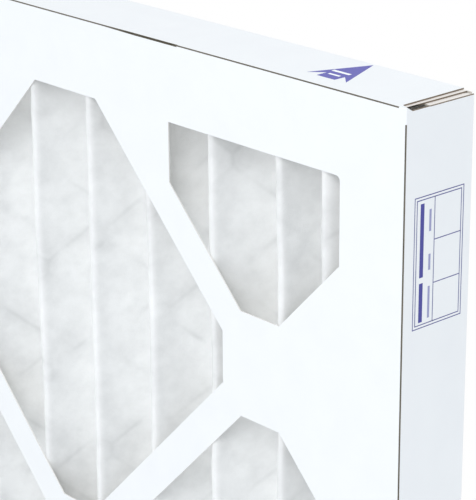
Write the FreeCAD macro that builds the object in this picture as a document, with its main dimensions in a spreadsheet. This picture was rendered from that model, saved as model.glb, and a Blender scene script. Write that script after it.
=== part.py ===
import FreeCAD, Part
import math
import os

import Sketcher

# Pleated panel air filter, nominal 20 x 25 x 2 inch, standing on its bottom edge.
# X runs along the width, Y through the depth, Z up. The air enters at the front face, -Y.
# The origin is the middle of the bottom edge. Lengths are in millimetres.

# Driving sizes, each written once: the three blocks are the board frame, the media pack and its grid.
drivingSizes = {
    "filterWidth": 495.3,
    "filterHeight": 622.3,
    "filterDepth": 44.45,
    "boardThickness": 0.7,
    "plyClearance": 0.05,
    "foldEase": 0.3,
    "topBorder": 40.7,
    "sideBorder": 41.0,
    "strutWidth": 19.6,
    "sideNodeInset": 96.1,
    "sideNodeReach": 27.4,
    "windowNodeReach": 28.4,
    "cornerWindowInset": 84.5,
    "windowCornerRadius": 2.8,
    "creaseDepth": 0.45,
    "creaseInsetAcross": 4.6,
    "creaseInsetUp": 7.4,
    "creaseNickAcross": 91.6,
    "creaseNickWidth": 1.6,
    "seamStart": 1.2,
    "seamLength": 2.4,
    "flapSetbackFront": 5.6,
    "flapSetbackRear": 6.3,
    "innerFlapSetback": 3.7,
    "innerFlapGap": 0.5,
    "tabLength": 38.0,
    "tabTaper": 5.0,
    "tabFrontGap": 11.9,
    "tabRearGap": 0.6,
    "mediaThickness": 2.4,
    "pleatPitch": 49.2,
    "endPleatPitch": 32.0,
    "endPleatInset": 53.0,
    "pleatBendRadius": 1.8,
    "pleatBendFlats": 3,
    "crestClearance": 0.3,
    "packSideGap": 0.3,
    "gridThickness": 0.5,
    "gridCellWidth": 128.0,
    "gridCellHeight": 127.0,
    "gridKnuckle": 14.0,
    "gridStrandWidth": 2.4,
    "gridEdge": 3.0,
}

# Places worked out from the driving sizes. The windows are set out from the middle of the face:
# diagonal struts run from the middle of each short edge to a node near each long edge and back.
layoutFormulas = {
    "halfWidth": "Sizes.filterWidth / 2",
    "halfHeight": "Sizes.filterHeight / 2",
    "halfDepth": "Sizes.filterDepth / 2",
    "ply": "Sizes.boardThickness + Sizes.plyClearance",
    "windowTop": "halfHeight - Sizes.topBorder",
    "windowSide": "halfWidth - Sizes.sideBorder",
    "nodeAcross": "halfWidth - Sizes.sideNodeInset",
    "nodeUp": "Sizes.filterHeight / 4",
    "strutSlope": "nodeUp / nodeAcross",
    "strutRise": "Sizes.strutWidth / 2 * sqrt(1 + strutSlope ^ 2)",
    "cornerFloor": "nodeUp + Sizes.windowNodeReach",
    "cornerFloorInner": "(halfHeight + strutRise - cornerFloor) / strutSlope",
    "cornerFloorOuter": "(cornerFloor - strutRise) / strutSlope",
    "cornerSideFoot": "strutSlope * windowSide + strutRise",
    "cornerInnerFoot": "halfHeight + strutRise - strutSlope * Sizes.cornerWindowInset",
    "diamondTopHalf": "(Sizes.topBorder - strutRise) / strutSlope",
    "diamondSide": "nodeAcross - Sizes.sideNodeReach",
    "diamondSideTop": "halfHeight - strutRise - strutSlope * diamondSide",
    "diamondSideFoot": "strutSlope * diamondSide + strutRise",
    "diamondFootHalf": "(Sizes.windowNodeReach - strutRise) / strutSlope",
    "sideHead": "nodeUp - Sizes.windowNodeReach",
    "sideHeadInner": "(sideHead + strutRise) / strutSlope",
    "sideHeadOuter": "(halfHeight - strutRise - sideHead) / strutSlope",
    "sideOuterTop": "halfHeight - strutRise - strutSlope * windowSide",
    "sideInnerTop": "strutSlope * Sizes.sideNodeReach - strutRise",
    "creaseAcross": "halfWidth - Sizes.creaseInsetAcross",
    "creaseUp": "halfHeight - Sizes.creaseInsetUp",
    "nickUp": "Sizes.filterHeight / 6",
    "seamBack": "Sizes.seamStart + Sizes.seamLength - halfDepth",
    "sideFoldHalf": "halfHeight - 2 * ply",
    "tabFront": "seamBack + Sizes.tabFrontGap",
    "tabRear": "halfDepth - Sizes.boardThickness - Sizes.tabRearGap",
    "innerHalfWidth": "halfWidth - ply",
    "innerHalfHeight": "halfHeight - ply",
    "innerFlapHalf": "halfWidth - Sizes.innerFlapSetback",
    "innerFlapFront": "Sizes.boardThickness + Sizes.innerFlapGap - halfDepth",
    "packHalfHeight": "halfHeight - 3 * ply",
    "packHalfWidth": "halfWidth - 2 * ply - Sizes.packSideGap",
}

doc = FreeCAD.newDocument("PleatedPanelFilter")


def fillSheet(name, rows, asFormulas):
    """Make a spreadsheet with one named value to a row."""
    sheet = doc.addObject("Spreadsheet::Sheet", name)
    for row, (alias, content) in enumerate(rows.items(), start=1):
        sheet.set("A%d" % row, alias)
        sheet.setAlias("B%d" % row, alias)
        sheet.set("B%d" % row, "=" + content if asFormulas else str(content))
    doc.recompute()
    return sheet


sizes = fillSheet("Sizes", drivingSizes, False)
layout = fillSheet("Layout", layoutFormulas, True)


def size(alias):
    return float(sizes.get(alias))


def place(alias):
    return float(layout.get(alias))


def L(alias, sign=1):
    """Expression for a worked-out place, mirrored where the sign is negative."""
    return ("-" if sign < 0 else "") + "Layout." + alias


def addOutline(sketch, corners):
    """Draw a closed outline, each corner tied to the two expressions that place it."""
    first = sketch.GeometryCount
    count = len(corners)
    rough = [FreeCAD.Vector(10 * math.cos(2 * math.pi * i / count), 10 * math.sin(2 * math.pi * i / count), 0)
             for i in range(count)]
    for i in range(count):
        sketch.addGeometry(Part.LineSegment(rough[i], rough[(i + 1) % count]), False)
    for i in range(count):
        sketch.addConstraint(Sketcher.Constraint("Coincident", first + i, 2, first + (i + 1) % count, 1))
    for i, (across, up) in enumerate(corners):
        for kind, value, expression in (("DistanceX", rough[i].x, across), ("DistanceY", rough[i].y, up)):
            index = sketch.addConstraint(Sketcher.Constraint(kind, -1, 1, first + i, 1, value))
            sketch.setExpression("Constraints[%d]" % index, expression)


def addSketch(body, name, plane, height, rise, outlines):
    """Sketch on an origin plane, moved off it by one expression and up by another."""
    sketch = body.newObject("Sketcher::SketchObject", name)
    support = [feature for feature in body.Origin.OriginFeatures if feature.Role == plane][0]
    sketch.AttachmentSupport = [(support, "")]
    sketch.MapMode = "FlatFace"
    sketch.setExpression("AttachmentOffset.Base.z", height)
    if rise:
        sketch.setExpression("AttachmentOffset.Base.y", rise)
    for corners in outlines:
        addOutline(sketch, corners)
    return sketch


def addPad(body, sketch, length, backwards):
    pad = body.newObject("PartDesign::Pad", sketch.Name + "_pad")
    pad.Profile = sketch
    pad.setExpression("Length", length)
    pad.Reversed = backwards
    return pad


def addPocket(body, sketch, length, backwards):
    """Cut a sketch into the board and make sure that it removed something."""
    doc.recompute()
    before = body.Shape.Volume
    pocket = body.newObject("PartDesign::Pocket", sketch.Name + "_cut")
    pocket.Profile = sketch
    pocket.setExpression("Length", length)
    pocket.Reversed = backwards
    doc.recompute()
    if body.Shape.Volume >= before - 0.001:
        raise RuntimeError(sketch.Name + " cuts nothing")
    return pocket


def dressEdges(body, kind, setting, value, wanted):
    """Fillet or chamfer the edges of the body so far that the test picks."""
    doc.recompute()
    base = body.Tip
    names = ["Edge%d" % (i + 1) for i, edge in enumerate(base.Shape.Edges) if wanted(edge)]
    dressed = body.newObject("PartDesign::" + kind, "%s_%s" % (body.Name, kind.lower()))
    dressed.Base = (base, names)
    dressed.setExpression(setting, value)
    return dressed


def runsAlong(edge, axis):
    """True for a straight edge parallel to the axis."""
    if edge.Curve.TypeId != "Part::GeomLine":
        return False
    return abs(abs(edge.Curve.Direction.dot(axis)) - 1) < 1e-6


def liesAt(value, target):
    return abs(value - target) < 1e-4


axisX = FreeCAD.Vector(1, 0, 0)
axisY = FreeCAD.Vector(0, 1, 0)
axisZ = FreeCAD.Vector(0, 0, 1)


# The die-cut windows of a face, eight of them: four at the corners, two clipped diamonds
# on the centre line and two at the sides.

def cornerWindow(side, end):
    return [
        ("%s Sizes.cornerWindowInset" % ("" if side > 0 else "-"), L("windowTop", end)),
        (L("windowSide", side), L("windowTop", end)),
        (L("windowSide", side), L("cornerSideFoot", end)),
        (L("cornerFloorOuter", side), L("cornerFloor", end)),
        (L("cornerFloorInner", side), L("cornerFloor", end)),
        ("%s Sizes.cornerWindowInset" % ("" if side > 0 else "-"), L("cornerInnerFoot", end)),
    ]


def diamondWindow(end):
    foot = "%s Sizes.windowNodeReach" % ("" if end > 0 else "-")
    return [
        (L("diamondTopHalf", -1), L("windowTop", end)),
        (L("diamondTopHalf"), L("windowTop", end)),
        (L("diamondSide"), L("diamondSideTop", end)),
        (L("diamondSide"), L("diamondSideFoot", end)),
        (L("diamondFootHalf"), foot),
        (L("diamondFootHalf", -1), foot),
        (L("diamondSide", -1), L("diamondSideFoot", end)),
        (L("diamondSide", -1), L("diamondSideTop", end)),
    ]


def sideWindow(side):
    inner = "%s Sizes.sideNodeReach" % ("" if side > 0 else "-")
    return [
        (L("sideHeadInner", side), L("sideHead")),
        (L("sideHeadOuter", side), L("sideHead")),
        (L("windowSide", side), L("sideOuterTop")),
        (L("windowSide", side), L("sideOuterTop", -1)),
        (L("sideHeadOuter", side), L("sideHead", -1)),
        (L("sideHeadInner", side), L("sideHead", -1)),
        (inner, L("sideInnerTop", -1)),
        (inner, L("sideInnerTop")),
    ]


def faceWindows():
    corners = [cornerWindow(side, end) for side in (1, -1) for end in (1, -1)]
    return corners + [diamondWindow(1), diamondWindow(-1), sideWindow(1), sideWindow(-1)]


def rectangle(left, right, low, high):
    return [(left, low), (right, low), (right, high), (left, high)]


def roundWindowCorners(body):
    """Round the one corner of each corner window that lies nearest the corner of the face."""
    def outermost(edge):
        if not runsAlong(edge, axisY):
            return False
        point = edge.Vertexes[0].Point
        across = liesAt(abs(point.x), place("windowSide"))
        return across and liesAt(abs(point.z - place("halfHeight")), place("windowTop"))
    dressEdges(body, "Fillet", "Radius", "Sizes.windowCornerRadius", outermost)


# Front frame: one die-cut sheet of white board. Its four flaps fold back over the rear frame,
# and the side flaps end in tabs that tuck in under the top and bottom of the rear frame.

def makeFrontFrame():
    body = doc.addObject("PartDesign::Body", "front_frame")
    body.Label = "front_frame"
    board = "Sizes.boardThickness"
    outline = rectangle(L("halfWidth", -1), L("halfWidth"), L("halfHeight", -1), L("halfHeight"))
    face = addSketch(body, "front_face", "XZ_Plane", L("halfDepth"), L("halfHeight"), [outline])
    addPad(body, face, board, True)
    for end, word in ((1, "top"), (-1, "bottom")):
        flap = endFlapOutline()
        height = "Sizes.filterHeight" if end > 0 else "0 * Sizes.filterHeight"
        sketch = addSketch(body, "front_%s_flap" % word, "XY_Plane", height, None, [flap])
        addPad(body, sketch, board, end > 0)
    for side, word in ((1, "right"), (-1, "left")):
        sketch = addSketch(body, "front_%s_flap" % word, "YZ_Plane", L("halfWidth", side),
                           L("halfHeight"), [sideFlapOutline()])
        addPad(body, sketch, board, side > 0)
        for end, endWord in ((1, "top"), (-1, "bottom")):
            height = "Layout.halfHeight" + (" + " if end > 0 else " - ") + "Layout.sideFoldHalf"
            sketch = addSketch(body, "%s_%s_tab" % (endWord, word), "XY_Plane", height, None, [tabOutline(side)])
            addPad(body, sketch, board, end > 0)
    dressEdges(body, "Chamfer", "Size", "Sizes.foldEase", isFrontFold)
    windows = addSketch(body, "front_windows", "XZ_Plane", L("halfDepth"), L("halfHeight"), faceWindows())
    addPocket(body, windows, board, False)
    roundWindowCorners(body)
    creases = addSketch(body, "front_creases", "XZ_Plane", L("halfDepth"), L("halfHeight"), creaseOutlines())
    addPocket(body, creases, "Sizes.creaseDepth", False)
    return body


def endFlapOutline():
    """Top or bottom flap: the face's full width at the fold, drawn in at the seams with the side flaps."""
    right = [
        (L("halfWidth"), L("halfDepth", -1)),
        (L("halfWidth"), "Sizes.seamStart - Layout.halfDepth"),
        ("Layout.halfWidth - Sizes.flapSetbackFront", L("seamBack")),
        ("Layout.halfWidth - Sizes.flapSetbackRear", L("halfDepth")),
    ]
    left = [("-(%s)" % across, depth) for across, depth in reversed(right)]
    return right + left


def sideFlapOutline():
    """Side flap: it meets the face's corner at the front and steps down under the end flaps behind."""
    upper = [
        (L("halfDepth", -1), L("halfHeight")),
        ("Sizes.seamStart - Layout.halfDepth", L("halfHeight")),
        (L("seamBack"), L("sideFoldHalf")),
        (L("halfDepth"), L("sideFoldHalf")),
    ]
    lower = [(depth, "-(%s)" % up) for depth, up in reversed(upper)]
    return upper + lower


def tabOutline(side):
    """Tab at the end of a side flap, a little narrower at its tip."""
    mark = "" if side > 0 else "-"
    tip = "%s(Layout.halfWidth - Sizes.tabLength)" % mark
    return [
        (L("halfWidth", side), L("tabFront")),
        (L("halfWidth", side), L("tabRear")),
        (tip, "Layout.tabRear - Sizes.tabTaper"),
        (tip, "Layout.tabFront + Sizes.tabTaper"),
    ]


def isFrontFold(edge):
    """Outside edges of the folds between the face, the flaps and the tabs."""
    middle = edge.CenterOfMass
    across = liesAt(abs(middle.x), place("halfWidth"))
    front = liesAt(middle.y, -place("halfDepth"))
    up = abs(middle.z - place("halfHeight"))
    if runsAlong(edge, axisX):
        return front and liesAt(up, place("halfHeight"))
    if runsAlong(edge, axisZ):
        return front and across
    return runsAlong(edge, axisY) and across and liesAt(up, place("sideFoldHalf"))


def creaseOutlines():
    """The cut scores along the four folds of the face, each with two nicks of whole board."""
    outlines = []
    for reach, nick, end, flapped in (("creaseAcross", "Sizes.creaseNickAcross", "halfHeight", False),
                                      ("creaseUp", "Layout.nickUp", "halfWidth", True)):
        runs = [("-Layout." + reach, "-%s - Sizes.creaseNickWidth / 2" % nick),
                ("-%s + Sizes.creaseNickWidth / 2" % nick, "%s - Sizes.creaseNickWidth / 2" % nick),
                ("%s + Sizes.creaseNickWidth / 2" % nick, "Layout." + reach)]
        for low, high in (("Layout.%s - Sizes.creaseDepth" % end, "Layout." + end),
                          ("-Layout." + end, "Sizes.creaseDepth - Layout." + end)):
            for start, finish in runs:
                outlines.append(rectangle(low, high, start, finish) if flapped
                                else rectangle(start, finish, low, high))
    return outlines


# Rear frame: the same windows in a second folded sheet, one ply smaller, with its four flaps
# turned forward inside the front frame's flaps.

def makeRearFrame():
    body = doc.addObject("PartDesign::Body", "rear_frame")
    body.Label = "rear_frame"
    board = "Sizes.boardThickness"
    outline = rectangle(L("innerHalfWidth", -1), L("innerHalfWidth"), L("innerHalfHeight", -1), L("innerHalfHeight"))
    face = addSketch(body, "rear_face", "XZ_Plane", L("halfDepth", -1), L("halfHeight"), [outline])
    addPad(body, face, board, False)
    for end, word in ((1, "top"), (-1, "bottom")):
        flap = rectangle(L("innerFlapHalf", -1), L("innerFlapHalf"), L("innerFlapFront"), L("halfDepth"))
        height = "Layout.halfHeight" + (" + " if end > 0 else " - ") + "Layout.innerHalfHeight"
        sketch = addSketch(body, "rear_%s_flap" % word, "XY_Plane", height, None, [flap])
        addPad(body, sketch, board, end > 0)
    for side, word in ((1, "right"), (-1, "left")):
        flap = rectangle(L("innerFlapFront"), L("halfDepth"), L("packHalfHeight", -1), L("packHalfHeight"))
        sketch = addSketch(body, "rear_%s_flap" % word, "YZ_Plane", L("innerHalfWidth", side),
                           L("halfHeight"), [flap])
        addPad(body, sketch, board, side > 0)
    dressEdges(body, "Chamfer", "Size", "Sizes.foldEase", isRearFold)
    windows = addSketch(body, "rear_windows", "XZ_Plane", L("halfDepth", -1), L("halfHeight"), faceWindows())
    addPocket(body, windows, board, True)
    roundWindowCorners(body)
    return body


def isRearFold(edge):
    """Outside edges of the folds between the rear face and its flaps."""
    middle = edge.CenterOfMass
    if not liesAt(middle.y, place("halfDepth")):
        return False
    if runsAlong(edge, axisX):
        return liesAt(abs(middle.z - place("halfHeight")), place("innerHalfHeight"))
    return runsAlong(edge, axisZ) and liesAt(abs(middle.x), place("innerHalfWidth"))


# Pleat pack: a sheet folded back and forth. Each fold wraps a round bend, in front at a crest
# and behind at a valley, and the flanks between are the straight tangents of the bends.

def pleatBends():
    """Middle of every bend from left to right, with +1 for a crest in front and -1 for a valley."""
    skin = size("pleatBendRadius") + size("mediaThickness") / 2
    frontY = size("boardThickness") + size("crestClearance") + skin - place("halfDepth")
    rearY = place("halfDepth") - size("boardThickness") - size("crestClearance") - size("gridThickness") - skin
    endX = place("packHalfWidth") - size("gridThickness") - skin
    crests = [place("halfWidth") - size("endPleatInset")]
    nextCrest = crests[0] - size("endPleatPitch")
    while nextCrest > -endX + 3 * skin:
        crests.insert(0, nextCrest)
        nextCrest -= size("pleatPitch")
    bends = [(-endX, rearY, -1)]
    for i, x in enumerate(crests):
        bends.append((x, frontY, 1))
        if i + 1 < len(crests):
            bends.append(((x + crests[i + 1]) / 2, rearY, -1))
    bends.append((endX, rearY, -1))
    return bends


def flankNormals(bends, radius):
    """Unit normal of each flank, towards the front."""
    normals = []
    for (x0, y0, side0), (x1, y1, side1) in zip(bends, bends[1:]):
        span = math.hypot(x1 - x0, y1 - y0)
        along = FreeCAD.Vector((x1 - x0) / span, (y1 - y0) / span, 0)
        across = FreeCAD.Vector(along.y, -along.x, 0)
        lean = (side0 - side1) * radius / span
        normals.append(along * lean + across * math.sqrt(1 - lean * lean))
    return normals


def turned(normal, angle):
    return FreeCAD.Vector(normal.x * math.cos(angle) - normal.y * math.sin(angle),
                          normal.x * math.sin(angle) + normal.y * math.cos(angle), 0)


def pleatLine(bends, normals, radius, shift):
    """Corners of the folded line that lies a given distance in front of the sheet's middle.

    A bend is a run of equal flats that touch its circle, so lines at any distance stay parallel."""
    steps = int(size("pleatBendFlats")) + 1
    points = []
    for i, (x, y, side) in enumerate(bends):
        middle = FreeCAD.Vector(x, y, 0)
        reach = side * radius + shift
        if i == 0:
            points.append(middle + normals[0] * reach)
            continue
        if i == len(normals):
            points.append(middle + normals[-1] * reach)
            continue
        before, after = normals[i - 1], normals[i]
        turn = math.atan2(before.x * after.y - before.y * after.x, before.dot(after))
        flats = [turned(before, turn * k / steps) for k in range(steps + 1)]
        for first, second in zip(flats, flats[1:]):
            points.append(middle + (first + second) * (reach / (1 + first.dot(second))))
    return points


def foldedSheet(frontShift, rearShift, low, high):
    """Solid of a pleated sheet between two distances from the media's middle."""
    radius = size("pleatBendRadius")
    bends = pleatBends()
    normals = flankNormals(bends, radius)
    front = pleatLine(bends, normals, radius, frontShift)
    rear = pleatLine(bends, normals, radius, rearShift)
    outline = front + rear[::-1] + front[:1]
    section = Part.Face(Part.makePolygon(outline))
    section.translate(FreeCAD.Vector(0, 0, low))
    return section.extrude(FreeCAD.Vector(0, 0, high - low))


def makeMedia():
    media = doc.addObject("Part::Feature", "pleated_media")
    media.Label = "pleated_media"
    half = size("mediaThickness") / 2
    low = place("halfHeight") - place("packHalfHeight")
    media.Shape = foldedSheet(half, -half, low, low + 2 * place("packHalfHeight"))
    media.Placement = FreeCAD.Placement()
    return media


# Support grid: expanded metal bonded to the rear of the media and pleated with it. Its openings
# are six-sided, with a short upright knuckle where the strands of neighbouring openings join.

def gridOpening(middleX, middleZ, narrowing):
    """One opening as seen along Y, narrower than on the flat sheet because the flanks slope."""
    halfStrand = size("gridStrandWidth") / 2
    halfWide = size("gridCellWidth") / 2
    head = size("gridCellHeight") / 2 - size("gridKnuckle") / 2
    slope = (head - size("gridKnuckle") / 2) / halfWide
    tip = head - halfStrand * math.hypot(1, slope)
    side = halfWide - halfStrand
    sideUp = tip - slope * side
    corners = [(0, tip), (side, sideUp), (side, -sideUp), (0, -tip), (-side, -sideUp), (-side, sideUp)]
    reach = size("filterDepth")
    points = [FreeCAD.Vector(middleX + across * narrowing, -reach, middleZ + up) for across, up in corners]
    return Part.Face(Part.makePolygon(points + [points[0]])).extrude(FreeCAD.Vector(0, 2 * reach, 0))


def gridOpenings(low, high):
    """Rows of openings in columns, every other column raised by half an opening."""
    bends = pleatBends()
    crest, valley = bends[3], bends[4]
    flank = math.hypot(valley[0] - crest[0], valley[1] - crest[1])
    narrowing = (valley[0] - crest[0]) / flank
    column = size("gridCellWidth") / 2 * narrowing
    reach = place("packHalfWidth") - size("gridEdge")
    window = Part.makeBox(2 * reach, 4 * size("filterDepth"), high - low - 2 * size("gridEdge"),
                          FreeCAD.Vector(-reach, -2 * size("filterDepth"), low + size("gridEdge")))
    openings = []
    columns = int(reach / column) + 1
    rows = int((high - low) / size("gridCellHeight")) + 1
    for i in range(-columns, columns + 1):
        for j in range(-1, rows + 1):
            middleZ = low + (j + (0.5 if i % 2 else 0)) * size("gridCellHeight")
            opening = gridOpening(i * column, middleZ, narrowing).common(window)
            if opening.Volume > 1:
                openings.append(opening)
    return openings


def makeGrid():
    grid = doc.addObject("Part::Feature", "support_grid")
    grid.Label = "support_grid"
    front = -size("mediaThickness") / 2
    low = place("halfHeight") - place("packHalfHeight")
    high = low + 2 * place("packHalfHeight")
    sheet = foldedSheet(front, front - size("gridThickness"), low, high)
    grid.Shape = sheet.cut(gridOpenings(low, high))
    grid.Placement = FreeCAD.Placement()
    return grid


pieces = [makeFrontFrame(), makeRearFrame(), makeMedia(), makeGrid()]
doc.recompute()

for thing in doc.Objects:
    if "Invalid" in thing.State or "Error" in thing.State:
        raise RuntimeError("%s did not compute: %s" % (thing.Name, thing.State))
for piece in pieces:
    if piece.Shape.isNull() or not piece.Shape.isValid():
        raise RuntimeError(piece.Label + " has no valid shape")

os.makedirs("parts", exist_ok=True)
for piece in pieces:
    piece.Shape.exportStep("parts/%s.step" % piece.Label)
    box = piece.Shape.BoundBox
    print("%-14s %d solid, %.0f mm3, x %.2f..%.2f y %.2f..%.2f z %.2f..%.2f" % (
        piece.Label, len(piece.Shape.Solids), piece.Shape.Volume,
        box.XMin, box.XMax, box.YMin, box.YMax, box.ZMin, box.ZMax))
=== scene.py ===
import math

import bmesh
import bpy
from mathutils import Matrix, Vector


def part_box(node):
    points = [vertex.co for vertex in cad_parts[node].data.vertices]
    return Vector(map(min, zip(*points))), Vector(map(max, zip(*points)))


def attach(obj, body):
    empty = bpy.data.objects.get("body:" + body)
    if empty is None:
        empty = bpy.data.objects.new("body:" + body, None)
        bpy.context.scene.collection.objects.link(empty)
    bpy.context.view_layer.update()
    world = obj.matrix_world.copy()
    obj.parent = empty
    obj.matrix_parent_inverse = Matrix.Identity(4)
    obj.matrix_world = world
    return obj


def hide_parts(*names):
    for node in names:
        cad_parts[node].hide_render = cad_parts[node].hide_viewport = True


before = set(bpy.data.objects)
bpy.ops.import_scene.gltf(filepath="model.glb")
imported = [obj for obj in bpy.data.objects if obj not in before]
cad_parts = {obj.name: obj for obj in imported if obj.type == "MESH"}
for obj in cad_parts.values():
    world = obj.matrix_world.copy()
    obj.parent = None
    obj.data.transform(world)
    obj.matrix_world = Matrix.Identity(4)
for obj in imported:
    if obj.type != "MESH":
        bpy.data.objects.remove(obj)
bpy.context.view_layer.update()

# A pleated panel air filter that stands on its bottom edge. X is its width, Y its depth
# with the air entering at -Y, Z is up, and the origin is the middle of the bottom edge.
low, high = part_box("front_frame")
halfWidth = (high.x - low.x) / 2
halfDepth = (high.y - low.y) / 2
height = high.z - low.z
middleZ = height / 2
mm = 0.001
beyond = 1.0  # a metre, past the filter whichever way it is measured
squarely = 1.1  # just past the length of a normal


# Helpers for colours, nodes and meshes

# Linear colour from an sRGB hex value.
def colour(hexCode):
    channels = [int(hexCode[i:i + 2], 16) / 255 for i in (1, 3, 5)]
    return [c / 12.92 if c <= 0.04045 else ((c + 0.055) / 1.055) ** 2.4 for c in channels] + [1]


# Add one node. Its values go to the inputs in order, or by name or number from a dictionary.
def addNode(tree, kind, *values, **settings):
    node = tree.nodes.new(kind)
    for name, value in settings.items():
        setattr(node, name, value)
    if values and isinstance(values[0], dict):
        pairs = [(node.inputs[name], value) for name, value in values[0].items()]
    else:
        pairs = zip([socket for socket in node.inputs if socket.enabled], values)
    for socket, value in pairs:
        if isinstance(value, bpy.types.Node):
            value = [output for output in value.outputs if output.enabled][0]
        if isinstance(value, bpy.types.NodeSocket):
            tree.links.new(value, socket)
        else:
            socket.default_value = value
    return node


# Mask that is one where each value lies between its two limits.
def maskWhere(tree, *ranges):
    mask = None
    for value, least, most in ranges:
        inside = addNode(tree, "ShaderNodeMath", value, (least + most) / 2, (most - least) / 2,
                         operation="COMPARE")
        mask = addNode(tree, "ShaderNodeMath", mask, inside, operation="MULTIPLY") if mask else inside
    return mask


def newMaterial(name):
    material = bpy.data.materials.new(name)
    material.use_nodes = True
    material.node_tree.nodes.clear()
    return material, material.node_tree


def newObject(name, mesh):
    thing = bpy.data.objects.new(name, mesh)
    bpy.context.scene.collection.objects.link(thing)
    return thing


# Geometry Nodes tree with the geometry in and out, and one named number for each size.
def newGeometryTree(name, sizes):
    tree = bpy.data.node_groups.new(name, "GeometryNodeTree")
    tree.interface.new_socket("Geometry", in_out="INPUT", socket_type="NodeSocketGeometry")
    tree.interface.new_socket("Geometry", in_out="OUTPUT", socket_type="NodeSocketGeometry")
    for key in sizes:
        tree.interface.new_socket(key, in_out="INPUT", socket_type="NodeSocketFloat")
    return tree, addNode(tree, "NodeGroupInput")


# Run a tree on an object, its sizes set by socket identifier, and keep the result as a plain mesh.
def runTree(thing, tree, sizes, material):
    modifier = thing.modifiers.new(tree.name, "NODES")
    modifier.node_group = tree
    for socket in tree.interface.items_tree:
        if socket.in_out == "INPUT" and socket.name in sizes:
            modifier[socket.identifier] = float(sizes[socket.name])
    evaluated = thing.evaluated_get(bpy.context.evaluated_depsgraph_get())
    mesh = bpy.data.meshes.new_from_object(evaluated)
    name = thing.name
    bpy.data.objects.remove(thing)
    mesh.name = name
    mesh.materials.clear()
    mesh.materials.append(material)
    return newObject(name, mesh)


# Camera: the photo's viewing angle, solved from the frame's edges and window corners

cameraPlace = {
    "location": (0.86618, -0.67898, 0.88136),
    "azimuth": 48.023,
    "elevation": 19.841,
    "roll": -0.409,
    "lens": 152.83,
    "sensor": 36.0,
    "clip": (0.01, 50),
}


def makeCamera():
    data = bpy.data.cameras.new("camera")
    data.lens = cameraPlace["lens"]
    data.sensor_width = cameraPlace["sensor"]
    data.clip_start, data.clip_end = cameraPlace["clip"]
    azimuth, elevation, roll = [math.radians(cameraPlace[key]) for key in ("azimuth", "elevation", "roll")]
    back = Vector((math.sin(azimuth) * math.cos(elevation), -math.cos(azimuth) * math.cos(elevation),
                   math.sin(elevation)))
    level = Vector((math.cos(azimuth), math.sin(azimuth), 0))
    upright = back.cross(level)
    right = level * math.cos(roll) + upright * math.sin(roll)
    up = upright * math.cos(roll) - level * math.sin(roll)
    turn = Matrix((right, up, back)).transposed().to_4x4()
    camera = newObject("camera", data)
    camera.matrix_world = Matrix.Translation(cameraPlace["location"]) @ turn
    bpy.context.scene.camera = camera


makeCamera()
print("camera placed")


# Clay-coated kraft board, die-cut and folded: a smooth, faintly mottled white face, with the
# raw kraft core showing where the board is cut and, with painted groove shade, in its scored
# folds. Painted shade fills the pockets under the flap ends at the corners.

board = {
    "coat": "#F6F8F9",
    "coatShade": "#F1F3F5",
    "lining": "#DCD7CE",  # faces that look inwards
    "cutEdge": "#F1EFEB",  # edges of the windows
    "tucked": "#F1EBE5",  # plies tucked in under the flaps
    # the unlit colour is painted shade in the pocket in front of the tucked plies
    "unlit": "#2B2723",  # pocket in front of them
    "kraft": "#5C4E40",
    "kraftPale": "#8F806D",
    # the score colours are the kraft core with painted shade of the groove
    "score": "#45402F",
    "scorePale": "#8D867B",
    "thickness": 0.7 * mm,
    "slack": 0.05 * mm,  # keeps a mask clear of the next face
    "borderReach": 30 * mm,
    "scoreDepth": 0.47 * mm,
    "scoreEndAcross": 4.6 * mm,
    "scoreEndUp": 7.4 * mm,
    "wornFrom": 30 * mm,  # worn stretch of the top score, right of the middle
    "wornFull": 62 * mm,
    "wornTo": 92 * mm,
    "wornWidth": 0.38 * mm,
    "wornDarker": 0.45,
    "ragged": 0.16 * mm,
    "raggedLength": 7 * mm,
    "rawDepth": 0.72 * mm,  # raw ends, measured in from the outside
    "rawReach": 1 * mm,
    "rawDown": 2.4 * mm,
    "flapTop": (0.3 * mm, 100 * mm),  # raw tops of the side flaps, down from the top
    "flapTopFront": 1.3 * mm,
    "tabFront": 15.5 * mm,
    "tabFold": (1.4 * mm, 1.95 * mm),
    "tabFoldDepth": 0.35 * mm,
    "tuckedDown": (0.5 * mm, 2.4 * mm),
    "pocketDown": 0.9375 * mm,
    "pocket": 9 * mm,
    "pocketBack": 11.6 * mm,
    "mottle": 18 * mm,
    "kraftGrain": 3 * mm,
    "grain": 0.9 * mm,
    "grainDepth": 0.03 * mm,
}


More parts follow.
